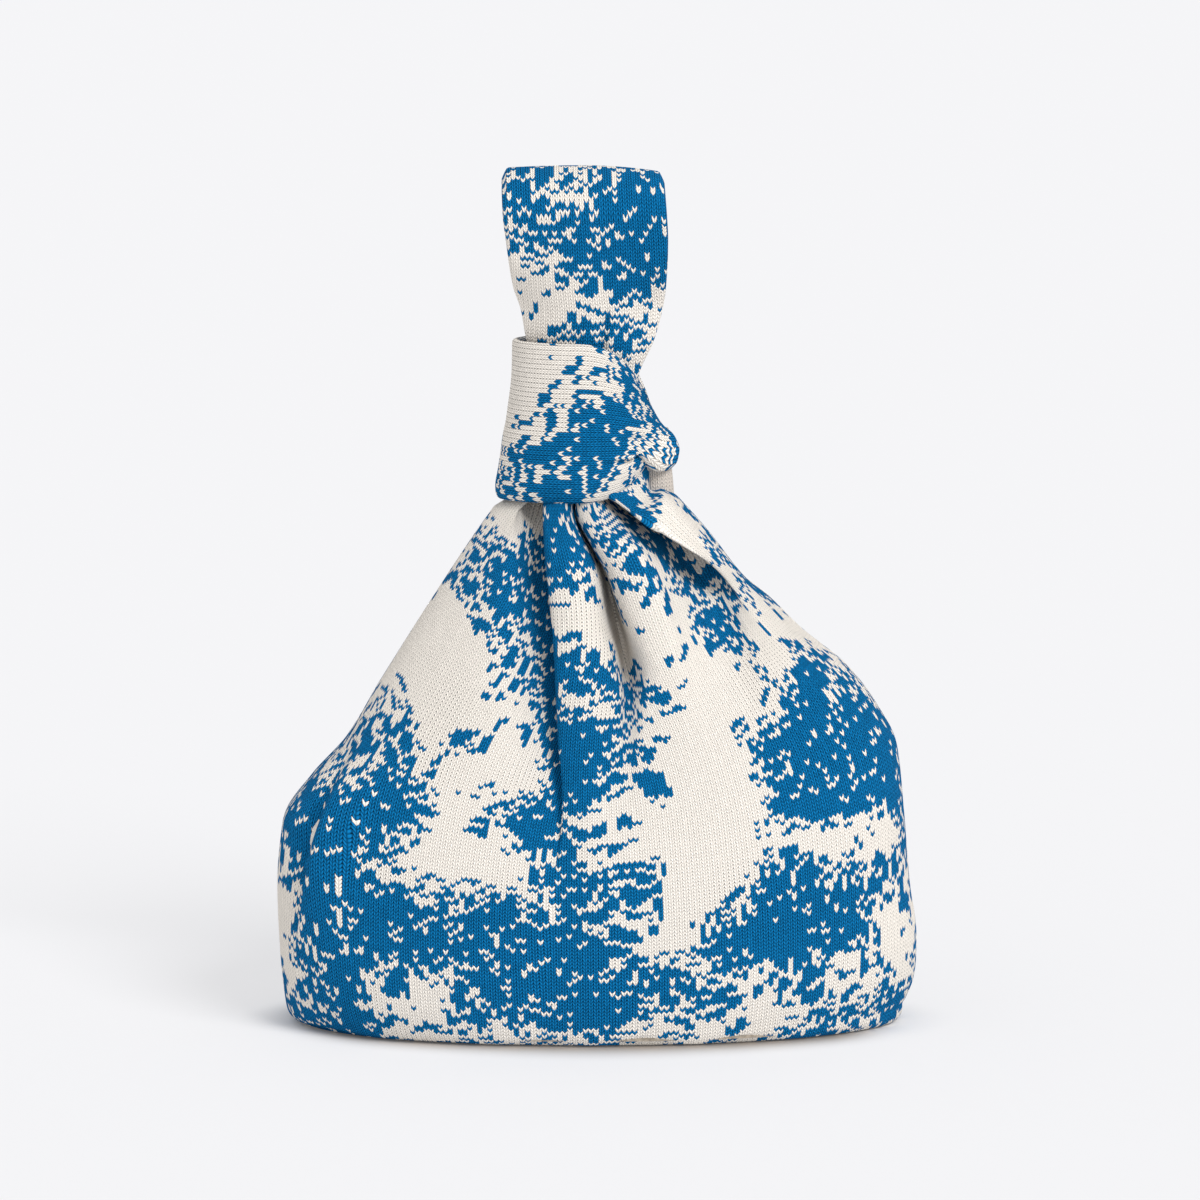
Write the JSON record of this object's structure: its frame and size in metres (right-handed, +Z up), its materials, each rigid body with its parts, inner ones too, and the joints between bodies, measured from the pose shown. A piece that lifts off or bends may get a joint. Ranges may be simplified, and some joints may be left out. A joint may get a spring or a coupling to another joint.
{
  "type": "knot bag",
  "caption": "Soft knitted hand bag with a flat oval base, closed by drawing its long handle loop through its short one, which wraps the gathered neck as a knot.",
  "frame": {"origin": "on the ground under the middle of the bag's bounding box", "axes": "+Z up, +X to the viewer's right of the front, +Y to the back"},
  "size_m": [0.2738, 0.1298, 0.3726],
  "materials": {
    "outer_knit": "two-colour stockinette knit, blue on cream, matt",
    "handle_knit": "doubled two-colour stockinette knit, blue on cream, matt",
    "lining": "plain woven cotton, matt",
    "board": "plain fibre board"
  },
  "bodies": {
    "bag": {"outer_front_panel": "outer_knit", "outer_back_panel": "outer_knit", "outer_base_panel": "outer_knit", "base_board": "board", "lining_base_panel": "lining", "lining_front_panel": "lining", "lining_back_panel": "lining", "long_handle_front_arm": "handle_knit", "long_handle_back_arm": "handle_knit"},
    "knot": {"short_handle_front_band": "handle_knit", "short_handle_back_band": "handle_knit", "short_handle_root": "handle_knit"},
    "loop": {"long_handle_front_strap": "handle_knit", "long_handle_back_strap": "handle_knit"}
  },
  "joints": [
    {"name": "knot_slide", "type": "slide", "parent": "bag", "child": "knot", "axis": [0, 0, 1], "range_m": [0, 0.012], "deforming": ["short_handle_root"]},
    {"name": "loop_flop", "type": "hinge", "parent": "bag", "child": "loop", "pos_m": [0, 0, 0.3206], "axis": [1, 0, 0], "range_deg": [-60, 60], "stiffness_Nm_per_rad": 0.06}
  ]
}
